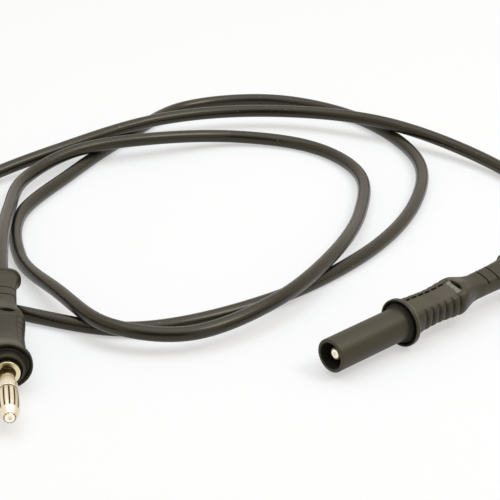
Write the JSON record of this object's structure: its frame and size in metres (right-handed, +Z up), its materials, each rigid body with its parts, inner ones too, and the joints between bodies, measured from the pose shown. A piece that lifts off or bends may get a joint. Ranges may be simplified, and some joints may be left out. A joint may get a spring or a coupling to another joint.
{
  "type": "patch lead",
  "caption": "Black flexible test and patch lead laid in a loose double loop, a sprung 4 mm banana plug on one end and a sleeved 4 mm safety plug on the other.",
  "frame": {"origin": "on the floor, under the middle of the box round the two plugs and what they hold, without the cable", "axes": "+X runs across the pair from the sprung plug to the sleeved plug, +Y goes back over the cable's loops, +Z is up"},
  "size_m": [0.1739, 0.1936, 0.0114],
  "materials": {
    "cable_jacket": "extruded soft PVC jacket, half gloss",
    "soft_grip": "moulded soft thermoplastic rubber, satin",
    "hard_insert": "moulded polyamide, satin",
    "plated_pin": "turned brass, pale gold plating",
    "plated_spring": "formed copper-alloy sheet, nickel plating",
    "bare_core": "stranded copper"
  },
  "bodies": {
    "root": {"cable": "cable_jacket", "left_grip": "soft_grip", "left_insert": "hard_insert", "left_pin": "plated_pin", "left_cage": "plated_spring", "left_core_end": "bare_core", "right_grip": "soft_grip", "right_sleeve": "hard_insert", "right_pin": "plated_pin", "right_cage": "plated_spring", "right_core_end": "bare_core"}
  },
  "joints": []
}
